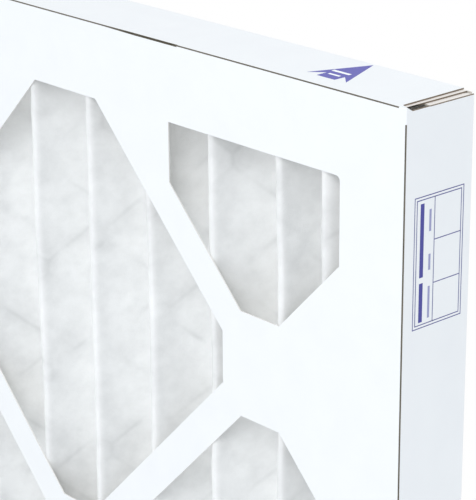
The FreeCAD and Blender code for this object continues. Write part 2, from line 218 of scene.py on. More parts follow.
def makeBoardMaterial():
    material, tree = newMaterial("clay_coated_kraft_board")
    spot = addNode(tree, "ShaderNodeTexCoord")
    across, back, up = addNode(tree, "ShaderNodeSeparateXYZ", spot.outputs["Object"]).outputs
    facing = addNode(tree, "ShaderNodeSeparateXYZ", spot.outputs["Normal"]).outputs
    sideways, backwards, upright = [addNode(tree, "ShaderNodeMath", part, operation="ABSOLUTE")
                                    for part in facing]
    fromMiddle = addNode(tree, "ShaderNodeMath", up, middleZ, operation="SUBTRACT")
    side = addNode(tree, "ShaderNodeMath", across, operation="ABSOLUTE")
    end = addNode(tree, "ShaderNodeMath", fromMiddle, operation="ABSOLUTE")
    fromSide = addNode(tree, "ShaderNodeMath", halfWidth, side, operation="SUBTRACT")
    fromEnd = addNode(tree, "ShaderNodeMath", middleZ, end, operation="SUBTRACT")
    fromFront = addNode(tree, "ShaderNodeMath", back, halfDepth, operation="ADD")
    nearest = addNode(tree, "ShaderNodeMath", fromSide, fromEnd, operation="MINIMUM")

    # Limits on a part of the normal say how squarely a face has to look that way
    windowEdge = maskWhere(tree, (backwards, 0, 0.5), (nearest, board["borderReach"], beyond))

    # Scored folds along the front, where the coat cracks open to the kraft core, darkened further
    # by painted shade of the groove. A stretch of the top one is worn.
    worn = addNode(tree, "ShaderNodeMapRange", {"Value": across, "From Min": board["wornFrom"],
                                                "From Max": board["wornFull"]},
                   interpolation_type="SMOOTHSTEP")
    stretch = maskWhere(tree, (across, board["wornFrom"], board["wornTo"]), (fromMiddle, 0, beyond))
    worn = addNode(tree, "ShaderNodeMath", worn, stretch, operation="MULTIPLY")
    ragged = addNode(tree, "ShaderNodeTexNoise", {"Vector": spot.outputs["Object"],
                                                  "Scale": 1 / board["raggedLength"],
                                                  "Detail": 4.0, "Roughness": 0.7})
    width = addNode(tree, "ShaderNodeMath", worn, board["wornWidth"], board["scoreDepth"],
                    operation="MULTIPLY_ADD")
    width = addNode(tree, "ShaderNodeMath", ragged, board["ragged"], width, operation="MULTIPLY_ADD")
    scores = []
    for reach, alongReach, start in ((fromEnd, fromSide, board["scoreEndAcross"]),
                                     (fromSide, fromEnd, board["scoreEndUp"])):
        off = addNode(tree, "ShaderNodeMath", reach, fromFront, operation="MAXIMUM")
        narrow = addNode(tree, "ShaderNodeMath", off, width, operation="LESS_THAN")
        run = maskWhere(tree, (alongReach, start, beyond))
        scores.append(addNode(tree, "ShaderNodeMath", narrow, run, operation="MULTIPLY"))
    score = addNode(tree, "ShaderNodeMath", *scores, operation="MAXIMUM")

    # Raw ends of the flaps at the corners and all round behind, raw tops of the side flaps, and
    # the folds of the tabs
    raw = maskWhere(tree, (sideways, 0.5, squarely), (fromSide, board["rawReach"], beyond),
                    (fromEnd, -beyond, board["rawDown"]))
    for mask in (
        maskWhere(tree, (facing[1], 0.9, squarely), (nearest, -beyond, board["rawDepth"]),
                  (fromFront, 2 * halfDepth - board["slack"], beyond)),
        maskWhere(tree, (upright, 0.4, squarely), (fromEnd, *board["flapTop"]),
                  (fromSide, -beyond, board["rawDepth"]),
                  (fromFront, board["flapTopFront"], board["tabFront"])),
        maskWhere(tree, (fromSide, -beyond, board["tabFoldDepth"]), (fromEnd, *board["tabFold"]),
                  (fromFront, board["tabFront"], beyond)),
    ):
        raw = addNode(tree, "ShaderNodeMath", raw, mask, operation="MAXIMUM")

    # Plies tucked in under the flaps, painted shade in the unlit pocket in front of them, and
    # faces that look towards the middle of the filter
    tucked = maskWhere(tree, (upright, 0.5, squarely), (fromEnd, *board["tuckedDown"]))
    inside = board["thickness"] - board["slack"]
    pocket = maskWhere(tree, (fromSide, inside, board["pocket"]),
                       (fromEnd, board["pocketDown"], board["pocket"]),
                       (fromFront, inside, board["pocketBack"]))
    centred = addNode(tree, "ShaderNodeCombineXYZ", across, back, fromMiddle)
    outward = addNode(tree, "ShaderNodeVectorMath", centred, spot.outputs["Normal"],
                      operation="DOT_PRODUCT")
    lined = addNode(tree, "ShaderNodeMath", outward, 0.0, operation="LESS_THAN")

    mottle = addNode(tree, "ShaderNodeTexNoise", {"Vector": spot.outputs["Object"],
                                                  "Scale": 1 / board["mottle"], "Detail": 3.0})
    kraftGrain = addNode(tree, "ShaderNodeTexNoise", {"Vector": spot.outputs["Object"],
                                                      "Scale": 1 / board["kraftGrain"], "Detail": 4.0})
    darker = addNode(tree, "ShaderNodeMath", worn, -board["wornDarker"], ragged, operation="MULTIPLY_ADD")
    kraft = addNode(tree, "ShaderNodeMix", kraftGrain, colour(board["kraft"]), colour(board["kraftPale"]),
                    data_type="RGBA")
    crackedAndGrooveShade = addNode(tree, "ShaderNodeMix", darker, colour(board["score"]), colour(board["scorePale"]),
                      data_type="RGBA")
    shown = addNode(tree, "ShaderNodeMix", mottle, colour(board["coat"]), colour(board["coatShade"]),
                    data_type="RGBA")
    for mask, finish in ((lined, colour(board["lining"])), (windowEdge, colour(board["cutEdge"])),
                         (tucked, colour(board["tucked"])), (raw, kraft), (score, crackedAndGrooveShade),
                         (pocket, colour(board["unlit"]))):
        shown = addNode(tree, "ShaderNodeMix", mask, shown, finish, data_type="RGBA")

    grain = addNode(tree, "ShaderNodeTexNoise", {"Vector": spot.outputs["Object"],
                                                 "Scale": 1 / board["grain"], "Detail": 2.0})
    bump = addNode(tree, "ShaderNodeBump", {"Height": grain, "Strength": 0.25,
                                             "Distance": board["grainDepth"]})
    surface = addNode(tree, "ShaderNodeBsdfPrincipled", {"Base Color": shown, "Roughness": 0.48,
                                                         "IOR": 1.45, "Normal": bump})
    addNode(tree, "ShaderNodeOutputMaterial", {"Surface": surface})
    return material


boardMaterial = makeBoardMaterial()
for node in ("front_frame", "rear_frame"):
    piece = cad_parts[node]
    piece.data.materials.clear()
    piece.data.materials.append(boardMaterial)
print("board frames dressed")


# Pleat pack: one sheet of lofted non-woven folded back and forth, with an expanded-metal grid
# bonded behind it. Both follow one pleat line, the middle of the sheet seen from above.

pleats = {
    "pitch": 49.2 * mm,
    "endPitch": 32 * mm,
    "endInset": 53 * mm,
    "bendRadius": 1.35 * mm,
    "sheet": 2.4 * mm,
    "flankStep": 3.6 * mm,  # steps of the mesh along a flank, up the sheet and round a bend
    "rowStep": 6.2 * mm,
    "bendSteps": 5,
    "settled": {4: 3.7 * mm, 5: 2.2 * mm, 6: 1.2 * mm, 7: 1.4 * mm, 8: 1.1 * mm},  # crest: shift
}
settling = {
    "wander": 1.5 * mm,  # how far a crest strays to the side
    "wanderLength": 75 * mm,
    "wanderStretch": 0.42,
    "kink": 0.5 * mm,
    "kinkLength": 14 * mm,
    "pillow": 0.5 * mm,  # how far a flank swells
    "pillowLength": 26 * mm,
    "heldFrom": 40 * mm,  # in from the sides, where the frame holds the sheet
    "heldAt": 12 * mm,
    "flankHalf": 8 * mm,  # the flank's middle, on both sides of the pack's mid-plane
    "flankEnd": 18 * mm,
    "noise": (0.25, 0.75),  # where the noise reaches its full swing
}
mediaLook = {
    "dense": "#F4F5F5",
    "sparse": "#E7E8E8",
    "strandShadow": "#C9CBCA",
    "strandShown": 0.22,  # where the sheet is thinnest
    "strandBlur": 2 * mm,
    # painted highlight: the crests are tinted white
    "crest": "#FFFFFF",
    "crestDepth": 3.2 * mm,
    "crestThrough": 0.08,  # share of the light that goes through
    "through": 0.3,
    "cornerAcross": 28 * mm,  # size of the unlit corners behind the borders
    "cornerUp": 13.5 * mm,
    "soakFrom": -20 * mm,  # light that soaks through, more towards the rear
    "soakFront": 0.04,
    "soakRear": 0.28,
    "cloud": 9 * mm,
    "blotch": 26 * mm,
    "fibre": 1.2 * mm,
    "cloudLoft": 3.0,  # height of the clouds over that of the fibres
    "loft": 0.35 * mm,
    "denseFrom": 0.36,  # where on the noise the sheet turns dense, and where thin
    "denseFull": 0.62,
    "thinFull": 0.38,
    "thinTo": 0.56,
}
expandedMetal = {
    "cellWidth": 64 * mm,
    "cellHeight": 63.5 * mm,
    "knuckle": 7 * mm,
    "strand": 1.9 * mm,
    "metal": 0.5 * mm,
    "knuckleSpread": 1.9,  # width of a knuckle in strands
    "columnBend": 11,  # bend beside which a column of openings lies
    "columnShift": 7 * mm,
    "rowShift": 118 * mm,  # down from the top
    "strandSteps": 30,
    "zinc": "#C4C8CB",
    "zincDark": "#9DA2A6",
    "spangle": 3 * mm,
    "dullness": 6 * mm,
}
packLow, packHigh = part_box("pleated_media")
packHeight = packHigh.z - packLow.z


# Centre of each bend from left to right, with 1 for a crest in front and -1 for a valley behind.
# A few crests have settled off their even pitch.
def pleatBends():
    skin = pleats["bendRadius"] + pleats["sheet"] / 2
    frontY = packLow.y + skin
    rearY = packHigh.y - skin
    leftX = packLow.x + pleats["bendRadius"]
    rightX = packHigh.x - pleats["bendRadius"]
    crests = [halfWidth - pleats["endInset"]]
    nextCrest = crests[0] - pleats["endPitch"]
    while nextCrest > leftX + 3 * skin:  # room for a valley and the end of the sheet
        crests.insert(0, nextCrest)
        nextCrest -= pleats["pitch"]
    for i, shift in pleats["settled"].items():
        crests[i] += shift
    bends = [(leftX, rearY, -1)]
    for i, x in enumerate(crests):
        bends.append((x, frontY, 1))
        if i + 1 < len(crests):
            bends.append(((x + crests[i + 1]) / 2, rearY, -1))
    bends.append((rightX, rearY, -1))
    return bends


# Sharp corners of the folded line, which its fillets turn into the bends.
def pleatCorners(bends):
    normals = []
    for (x0, y0, side0), (x1, y1, side1) in zip(bends, bends[1:]):
        along = Vector((x1 - x0, y1 - y0, 0))
        lean = (side0 - side1) * pleats["bendRadius"] / along.length
        along.normalize()
        normals.append(along * lean + Vector((along.y, -along.x, 0)) * math.sqrt(1 - lean * lean))
    corners = []
    for i, (x, y, side) in enumerate(bends):
        first, second = normals[max(i - 1, 0)], normals[min(i, len(normals) - 1)]
        reach = side * pleats["bendRadius"] / (1 + first.dot(second))
        corners.append(Vector((x, y, 0)) + (first + second) * reach)
    return corners


# Length of the folded line and how far along it each corner lies, bends included.
def pleatLineLength(corners):
    places, along, before = [0.0], 0.0, 0.0
    for i in range(1, len(corners)):
        run = (corners[i] - corners[i - 1]).length
        cut, arc = 0.0, 0.0
        if i + 1 < len(corners):
            turn = (corners[i] - corners[i - 1]).angle(corners[i + 1] - corners[i])
            cut = pleats["bendRadius"] * math.tan(turn / 2)
            arc = pleats["bendRadius"] * turn
        along += run - before - cut
        places.append(along + arc / 2)
        along += arc
        before = cut
    return along, places


def pleatLineObject(name, corners):
    data = bpy.data.curves.new(name, "CURVE")
    data.dimensions = "3D"
    spline = data.splines.new("POLY")
    spline.points.add(len(corners) - 1)
    for point, corner in zip(spline.points, corners):
        point.co = (*corner, 1)
    return newObject(name, data)


# Uneven value between -1 and 1 that follows a place in space.
def unevenness(tree, place, length, detail):
    noise = addNode(tree, "ShaderNodeTexNoise", {"Vector": place, "Scale": 1 / length, "Detail": detail})
    least, most = settling["noise"]
    return addNode(tree, "ShaderNodeMapRange", {"Value": noise, "From Min": least, "From Max": most,
                                                "To Min": -1.0, "To Max": 1.0})


# Let the folded sheet settle. Crests wander and kink a little along their height, which fades
# out towards the ends of the pack, and flanks pillow, which fades out in front and behind.
def addSettling(tree, geometry, group):
    position = addNode(tree, "GeometryNodeInputPosition")
    parts = addNode(tree, "ShaderNodeSeparateXYZ", {0: position})
    stretched = addNode(tree, "ShaderNodeVectorMath", {0: position, 1: (1, 0, settling["wanderStretch"])},
                        operation="MULTIPLY")
    sway = unevenness(tree, stretched, settling["wanderLength"], 1.0)
    sway = addNode(tree, "ShaderNodeMath", sway, group.outputs["wander"], operation="MULTIPLY")
    kink = unevenness(tree, position, settling["kinkLength"], 2.0)
    kink = addNode(tree, "ShaderNodeMath", kink, group.outputs["kink"], operation="MULTIPLY")
    across = addNode(tree, "ShaderNodeMath", parts.outputs[0], operation="ABSOLUTE")
    free = addNode(tree, "ShaderNodeMapRange", {"Value": across, "From Min": halfWidth - settling["heldFrom"],
                                                "From Max": halfWidth - settling["heldAt"],
                                                "To Min": 1.0, "To Max": 0.0})
    moveX = addNode(tree, "ShaderNodeMath", sway, kink, operation="ADD")
    moveX = addNode(tree, "ShaderNodeMath", moveX, free, operation="MULTIPLY")
    depth = addNode(tree, "ShaderNodeMath", parts.outputs[1], operation="ABSOLUTE")
    middle = addNode(tree, "ShaderNodeMapRange", {"Value": depth, "From Min": settling["flankHalf"],
                                                  "From Max": settling["flankEnd"],
                                                  "To Min": 1.0, "To Max": 0.0})
    swell = unevenness(tree, position, settling["pillowLength"], 1.0)
    moveY = addNode(tree, "ShaderNodeMath", swell, group.outputs["pillow"], operation="MULTIPLY")
    moveY = addNode(tree, "ShaderNodeMath", moveY, middle, operation="MULTIPLY")
    offset = addNode(tree, "ShaderNodeCombineXYZ", {0: moveX, 1: moveY})
    return addNode(tree, "GeometryNodeSetPosition", {"Geometry": geometry, "Offset": offset})


# The pleat line with its bends rounded, and level normals.
def foldedCurve(tree, group):
    rounded = addNode(tree, "GeometryNodeFilletCurve", {"Curve": group.outputs["Geometry"],
                                                        "Radius": group.outputs["bendRadius"]})
    rounded.mode = "POLY"
    rounded.inputs["Count"].default_value = pleats["bendSteps"]
    return addNode(tree, "GeometryNodeSetCurveNormal", {"Curve": rounded}, mode="Z_UP")


# One flat sheet swept along the pleat line.
def makeMedia(corners, material):
    sizes = {key: pleats[key] for key in ("bendRadius", "sheet", "flankStep", "rowStep")}
    sizes.update({key: settling[key] for key in ("wander", "kink", "pillow")})
    sizes.update({"packHeight": packHeight, "packFoot": packLow.z})
    tree, group = newGeometryTree("fold_media", sizes)
    given = group.outputs
    curve = foldedCurve(tree, group)

    # Flanks are cut into short steps, and the bends keep their own
    along = addNode(tree, "GeometryNodeSplineParameter")
    index = addNode(tree, "GeometryNodeInputIndex")
    following = addNode(tree, "ShaderNodeMath", index, 1.0, operation="ADD")
    nextAlong = addNode(tree, "GeometryNodeFieldAtIndex",
                        {"Index": following, "Value": along.outputs["Length"]},
                        domain="POINT", data_type="FLOAT")
    span = addNode(tree, "ShaderNodeMath", nextAlong, along.outputs["Length"], operation="SUBTRACT")
    cuts = addNode(tree, "ShaderNodeMath", span, given["flankStep"], operation="DIVIDE")
    cuts = addNode(tree, "ShaderNodeMath", cuts, operation="FLOOR")
    curve = addNode(tree, "GeometryNodeSubdivideCurve", {"Curve": curve, "Cuts": cuts})
    length = addNode(tree, "GeometryNodeSplineParameter")
    curve = addNode(tree, "GeometryNodeStoreNamedAttribute",
                    {"Geometry": curve, "Name": "unfolded", "Value": length.outputs["Length"]},
                    data_type="FLOAT", domain="POINT")

    # The section of the sheet: as tall as the pack and as thick as the media
    section = addNode(tree, "GeometryNodeCurvePrimitiveQuadrilateral",
                      {"Width": given["sheet"], "Height": given["packHeight"]})
    rows = addNode(tree, "ShaderNodeMath", given["packHeight"], given["rowStep"], operation="DIVIDE")
    # Only its two long sides, the odd ones, are cut into rows
    corner = addNode(tree, "GeometryNodeInputIndex")
    odd = addNode(tree, "ShaderNodeMath", corner, 2.0, operation="MODULO")
    rows = addNode(tree, "ShaderNodeMath", rows, odd, operation="MULTIPLY")
    section = addNode(tree, "GeometryNodeSubdivideCurve", {"Curve": section, "Cuts": rows})
    sheet = addNode(tree, "GeometryNodeCurveToMesh", {"Curve": curve, "Profile Curve": section,
                                                      "Fill Caps": True})
    lift = addNode(tree, "ShaderNodeMath", given["packHeight"], 0.5, operation="MULTIPLY")
    lift = addNode(tree, "ShaderNodeMath", lift, given["packFoot"], operation="ADD")
    sheet = addNode(tree, "GeometryNodeSetPosition",
                    {"Geometry": sheet, "Offset": addNode(tree, "ShaderNodeCombineXYZ", {2: lift})})

    # The unfolded place of each point, which the grid's marks in the material follow
    stored = addNode(tree, "GeometryNodeInputNamedAttribute", {"Name": "unfolded"}, data_type="FLOAT")
    up = addNode(tree, "ShaderNodeSeparateXYZ", {0: addNode(tree, "GeometryNodeInputPosition")})
    flat = addNode(tree, "ShaderNodeCombineXYZ", {0: stored, 1: up.outputs[2]})
    sheet = addNode(tree, "GeometryNodeStoreNamedAttribute",
                    {"Geometry": sheet, "Name": "unfoldedMap", "Value": flat},
                    data_type="FLOAT2", domain="CORNER")
    sheet = addSettling(tree, sheet, group)
    sheet = addNode(tree, "GeometryNodeRealizeInstances", {"Geometry": sheet})
    sheet = addNode(tree, "GeometryNodeSetMaterial", {"Geometry": sheet, "Material": material})
    addNode(tree, "NodeGroupOutput", {0: sheet})
    return runTree(pleatLineObject("pleated_media_sheet", corners), tree, sizes, material)


# Where the first column and row of openings lie on the flat sheet, off its left and lower edges.
def firstOpening(places):
    cell = expandedMetal
    firstColumn = (places[cell["columnBend"]] + cell["columnShift"]) % cell["cellWidth"] - cell["cellWidth"]
    firstRow = (height - cell["rowShift"]) % cell["cellHeight"] - cell["cellHeight"]
    return firstColumn, firstRow


# Expanded metal on the flat, then bent round the pleat line behind the media.
def makeGrid(corners, total, firstColumn, firstRow, material):
    cell = expandedMetal
    # A few more than the sheet holds: those past its edges are dropped below
    columns = int(total / (cell["cellWidth"] / 2)) + 4
    rows = int(height / cell["cellHeight"]) + 3
    sizes = {key: cell[key] for key in ("cellWidth", "cellHeight", "knuckle", "strand", "metal")}
    sizes.update({key: settling[key] for key in ("wander", "kink", "pillow")})
    sizes.update({"bendRadius": pleats["bendRadius"], "sheet": pleats["sheet"], "total": total,
                  "firstColumn": firstColumn, "firstRow": firstRow,
                  "packFoot": packLow.z, "packHead": packHigh.z})
    tree, group = newGeometryTree("fold_grid", sizes)
    given = group.outputs
    curve = foldedCurve(tree, group)

    # One knuckle with the two strands that leave its head
    halfCell = addNode(tree, "ShaderNodeMath", given["cellWidth"], 0.5, operation="MULTIPLY")
    halfRise = addNode(tree, "ShaderNodeMath", given["cellHeight"], 0.5, operation="MULTIPLY")
    climb = addNode(tree, "ShaderNodeMath", halfRise, given["knuckle"], operation="SUBTRACT")
    slant = addNode(tree, "ShaderNodeMath", climb, halfCell, operation="ARCTAN2")
    reach = addNode(tree, "ShaderNodeCombineXYZ", {0: halfCell, 1: climb})
    run = addNode(tree, "ShaderNodeVectorMath", {0: reach}, operation="LENGTH").outputs["Value"]
    wide = addNode(tree, "ShaderNodeMath", given["strand"], cell["knuckleSpread"], operation="MULTIPLY")
    tall = addNode(tree, "ShaderNodeMath", given["knuckle"], given["strand"], operation="ADD")
    knuckleSize = addNode(tree, "ShaderNodeCombineXYZ", {0: wide, 1: given["metal"], 2: tall})
    knuckle = addNode(tree, "GeometryNodeMeshCube", {"Size": knuckleSize, "Vertices X": 3, "Vertices Y": 2,
                                                     "Vertices Z": 2})
    strandSize = addNode(tree, "ShaderNodeCombineXYZ", {0: run, 1: given["metal"], 2: given["strand"]})
    strand = addNode(tree, "GeometryNodeMeshCube", {"Size": strandSize, "Vertices X": cell["strandSteps"],
                                                    "Vertices Y": 2, "Vertices Z": 2})
    halfRun = addNode(tree, "ShaderNodeMath", halfCell, 0.5, operation="MULTIPLY")
    halfClimb = addNode(tree, "ShaderNodeMath", halfRise, 0.5, operation="MULTIPLY")
    unit = addNode(tree, "GeometryNodeJoinGeometry")
    tree.links.new(knuckle.outputs[0], unit.inputs[0])
    for side in (1, -1):
        shift = addNode(tree, "ShaderNodeMath", halfRun, float(side), operation="MULTIPLY")
        shift = addNode(tree, "ShaderNodeCombineXYZ", {0: shift, 2: halfClimb})
        turn = addNode(tree, "ShaderNodeMath", slant, -float(side), operation="MULTIPLY")
        turn = addNode(tree, "ShaderNodeCombineXYZ", {1: turn})
        placed = addNode(tree, "GeometryNodeTransform",
                         {"Geometry": strand, "Translation": shift, "Rotation": turn})
        tree.links.new(placed.outputs[0], unit.inputs[0])

    # Staggered knuckles, kept where the whole unit lies on the sheet
    lattice = addNode(tree, "GeometryNodeMeshGrid", {"Size X": 1.0, "Size Y": 1.0, "Vertices X": columns,
                                                     "Vertices Y": rows})
    index = addNode(tree, "GeometryNodeInputIndex")
    column = addNode(tree, "ShaderNodeMath", index, float(rows), operation="DIVIDE")
    column = addNode(tree, "ShaderNodeMath", column, operation="FLOOR")
    row = addNode(tree, "ShaderNodeMath", index, float(rows), operation="MODULO")
    odd = addNode(tree, "ShaderNodeMath", column, 2.0, operation="MODULO")
    half = addNode(tree, "ShaderNodeMath", odd, 0.5, row, operation="MULTIPLY_ADD")
    along = addNode(tree, "ShaderNodeMath", column, halfCell, given["firstColumn"], operation="MULTIPLY_ADD")
    up = addNode(tree, "ShaderNodeMath", half, given["cellHeight"], given["firstRow"],
                 operation="MULTIPLY_ADD")
    knot = addNode(tree, "ShaderNodeCombineXYZ", {0: along, 2: up})
    points = addNode(tree, "GeometryNodeMeshToPoints", {"Mesh": lattice, "Position": knot})
    spot = addNode(tree, "ShaderNodeSeparateXYZ", {0: addNode(tree, "GeometryNodeInputPosition")})
    endRoom = addNode(tree, "ShaderNodeMath", given["total"], halfCell, operation="SUBTRACT")
    headRoom = addNode(tree, "ShaderNodeMath", given["packHead"], halfRise, operation="SUBTRACT")
    footRoom = addNode(tree, "ShaderNodeMath", given["packFoot"], given["knuckle"], operation="ADD")
    outside = [
        addNode(tree, "ShaderNodeMath", spot.outputs[0], halfCell, operation="LESS_THAN"),
        addNode(tree, "ShaderNodeMath", spot.outputs[0], endRoom, operation="GREATER_THAN"),
        addNode(tree, "ShaderNodeMath", spot.outputs[2], footRoom, operation="LESS_THAN"),
        addNode(tree, "ShaderNodeMath", spot.outputs[2], headRoom, operation="GREATER_THAN"),
    ]
    away = outside[0]
    for test in outside[1:]:
        away = addNode(tree, "ShaderNodeMath", away, test, operation="MAXIMUM")
    points = addNode(tree, "GeometryNodeDeleteGeometry", {"Geometry": points, "Selection": away},
                     domain="POINT")
    metal = addNode(tree, "GeometryNodeInstanceOnPoints", {"Points": points, "Instance": unit})
    metal = addNode(tree, "GeometryNodeRealizeInstances", {"Geometry": metal})

    # Bend the flat metal: distance along the sheet is read off the pleat line
    flat = addNode(tree, "ShaderNodeSeparateXYZ", {0: addNode(tree, "GeometryNodeInputPosition")})
    sample = addNode(tree, "GeometryNodeSampleCurve", {"Curves": curve, "Length": flat.outputs[0]},
                     mode="LENGTH")
    behind = addNode(tree, "ShaderNodeMath", given["sheet"], given["metal"], operation="ADD")
    behind = addNode(tree, "ShaderNodeMath", behind, 0.5, operation="MULTIPLY")
    offset = addNode(tree, "ShaderNodeMath", flat.outputs[1], behind, operation="SUBTRACT")
    aside = addNode(tree, "ShaderNodeVectorMath", {0: sample.outputs["Normal"], "Scale": offset},
                    operation="SCALE")
    bent = addNode(tree, "ShaderNodeVectorMath", {0: sample.outputs["Position"], 1: aside}, operation="ADD")
    raised = addNode(tree, "ShaderNodeCombineXYZ", {2: flat.outputs[2]})
    bent = addNode(tree, "ShaderNodeVectorMath", {0: bent, 1: raised}, operation="ADD")
    metal = addNode(tree, "GeometryNodeSetPosition", {"Geometry": metal, "Position": bent})
    metal = addSettling(tree, metal, group)
    metal = addNode(tree, "GeometryNodeSetMaterial", {"Geometry": metal, "Material": material})
    addNode(tree, "NodeGroupOutput", {0: metal})
    return runTree(pleatLineObject("expanded_metal_grid", corners), tree, sizes, material)


# Lofted non-woven of white synthetic fibre: matt and a little see-through, cloudy where it is
# thinner, with a painted shadow of the grid's strands behind it as faint grey lines, and a
# painted highlight on the crests.
def makeMediaMaterial(firstColumn, firstRow):
    material, tree = newMaterial("lofted_nonwoven")
    spot = addNode(tree, "ShaderNodeTexCoord")
    place = addNode(tree, "ShaderNodeUVMap", uv_map="unfoldedMap")
    flat = addNode(tree, "ShaderNodeSeparateXYZ", {0: place})
    cell = expandedMetal
    halfCell, halfRise = cell["cellWidth"] / 2, cell["cellHeight"] / 2
    slope = (halfRise - cell["knuckle"]) / halfCell

    # Distance to the nearest strand, folded into one quarter of an opening. The webs of the
    # knuckles stand at two opposite corners of that quarter.
    halfWeb = cell["knuckle"] / 2
    column = addNode(tree, "ShaderNodeMath", flat.outputs[0], firstColumn, operation="SUBTRACT")
    toColumn = addNode(tree, "ShaderNodeMath", column, halfCell, operation="PINGPONG")
    row = addNode(tree, "ShaderNodeMath", flat.outputs[1], firstRow, operation="SUBTRACT")
    toRow = addNode(tree, "ShaderNodeMath", row, halfRise, operation="PINGPONG")
    line = addNode(tree, "ShaderNodeMath", toColumn, slope, halfWeb, operation="MULTIPLY_ADD")
    toDiagonal = addNode(tree, "ShaderNodeMath", toRow, line, operation="SUBTRACT")
    toDiagonal = addNode(tree, "ShaderNodeMath", toDiagonal, operation="ABSOLUTE")
    toDiagonal = addNode(tree, "ShaderNodeMath", toDiagonal, 1 / math.hypot(1, slope), operation="MULTIPLY")
    offLow = addNode(tree, "ShaderNodeMath", toRow, halfWeb, operation="GREATER_THAN")
    toLow = addNode(tree, "ShaderNodeMath", offLow, beyond, toColumn, operation="MULTIPLY_ADD")
    offHigh = addNode(tree, "ShaderNodeMath", toRow, halfRise - halfWeb, operation="LESS_THAN")
    toHigh = addNode(tree, "ShaderNodeMath", halfCell, toColumn, operation="SUBTRACT")
    toHigh = addNode(tree, "ShaderNodeMath", offHigh, toHigh, operation="ADD")
    toStrand = addNode(tree, "ShaderNodeMath", toDiagonal, toLow, operation="MINIMUM")
    toStrand = addNode(tree, "ShaderNodeMath", toStrand, toHigh, operation="MINIMUM")
    strand = addNode(tree, "ShaderNodeMapRange", {"Value": toStrand, "From Min": 0.0,
                                                  "From Max": mediaLook["strandBlur"],
                                                  "To Min": 1.0, "To Max": 0.0},
                     interpolation_type="SMOOTHSTEP")

    # Fibres lie unevenly: small clouds and broader blotches, denser ones whiter
    cloud = addNode(tree, "ShaderNodeTexNoise", {"Vector": spot.outputs["Object"],
                                                 "Scale": 1 / mediaLook["cloud"], "Detail": 5.0,
                                                 "Roughness": 0.6})
    blotch = addNode(tree, "ShaderNodeTexNoise", {"Vector": spot.outputs["Object"],
                                                  "Scale": 1 / mediaLook["blotch"], "Detail": 2.0})
    uneven = addNode(tree, "ShaderNodeMix", 0.5, cloud, blotch)
    dense = addNode(tree, "ShaderNodeMapRange", {"Value": uneven, "From Min": mediaLook["denseFrom"],
                                                 "From Max": mediaLook["denseFull"]})
    thinner = addNode(tree, "ShaderNodeMapRange", {"Value": blotch, "From Min": mediaLook["thinFull"],
                                                   "From Max": mediaLook["thinTo"],
                                                   "To Min": mediaLook["strandShown"], "To Max": 0.0})
    # painted shadow of the strands behind the sheet, strongest where the sheet is thinnest
    shown = addNode(tree, "ShaderNodeMath", strand, thinner, operation="MULTIPLY")
    tint = addNode(tree, "ShaderNodeMix", dense, colour(mediaLook["sparse"]), colour(mediaLook["dense"]),
                   data_type="RGBA")
    tint = addNode(tree, "ShaderNodeMix", shown, tint, colour(mediaLook["strandShadow"]), data_type="RGBA")

    fibres = addNode(tree, "ShaderNodeTexNoise", {"Vector": spot.outputs["Object"],
                                                  "Scale": 1 / mediaLook["fibre"], "Detail": 3.0,
                                                  "Roughness": 0.7, "Distortion": 1.5})
    loft = addNode(tree, "ShaderNodeMath", cloud, mediaLook["cloudLoft"], fibres, operation="MULTIPLY_ADD")
    bump = addNode(tree, "ShaderNodeBump", {"Height": loft, "Strength": 0.35, "Distance": mediaLook["loft"]})

    # The fold presses the fibres together at the crests, so less light goes through there, and
    # the crests are tinted white as a painted highlight. Light that soaks through from behind takes
    # more bounces than a render follows, so a faint glow stands for it. It grows towards the rear
    # and is off in the corners behind the borders.
    across, back, up = addNode(tree, "ShaderNodeSeparateXYZ", spot.outputs["Object"]).outputs
    crest = addNode(tree, "ShaderNodeMapRange", {"Value": back, "From Min": packLow.y,
                                                 "From Max": packLow.y + mediaLook["crestDepth"],
                                                 "To Min": 1.0, "To Max": 0.0},
                    interpolation_type="SMOOTHSTEP")
    crestPressAndHighlight = addNode(tree, "ShaderNodeMath", crest, uneven, operation="MULTIPLY")
    tint = addNode(tree, "ShaderNodeMix", crestPressAndHighlight, tint, colour(mediaLook["crest"]), data_type="RGBA")
    share = addNode(tree, "ShaderNodeMix", crestPressAndHighlight, mediaLook["through"], mediaLook["crestThrough"])
    soaked = addNode(tree, "ShaderNodeMapRange", {"Value": back, "From Min": mediaLook["soakFrom"],
                                                  "From Max": packHigh.y,
                                                  "To Min": mediaLook["soakFront"],
                                                  "To Max": mediaLook["soakRear"]})
    lit = addNode(tree, "ShaderNodeMath",
                  maskWhere(tree, (across, mediaLook["cornerAcross"] - halfWidth,
                                   halfWidth - mediaLook["cornerAcross"])),
                  maskWhere(tree, (up, mediaLook["cornerUp"], height - mediaLook["cornerUp"])),
                  operation="MAXIMUM")
    soaked = addNode(tree, "ShaderNodeMath", soaked, lit, operation="MULTIPLY")
    surface = addNode(tree, "ShaderNodeBsdfPrincipled", {
        "Base Color": tint, "Roughness": 0.95, "Normal": bump, "Specular IOR Level": 0.2,
        "Emission Color": tint, "Emission Strength": soaked})
    through = addNode(tree, "ShaderNodeBsdfTranslucent", {"Color": tint, "Normal": bump})
    mixed = addNode(tree, "ShaderNodeMixShader", share, surface, through)
    addNode(tree, "ShaderNodeOutputMaterial", {"Surface": mixed})
    return material


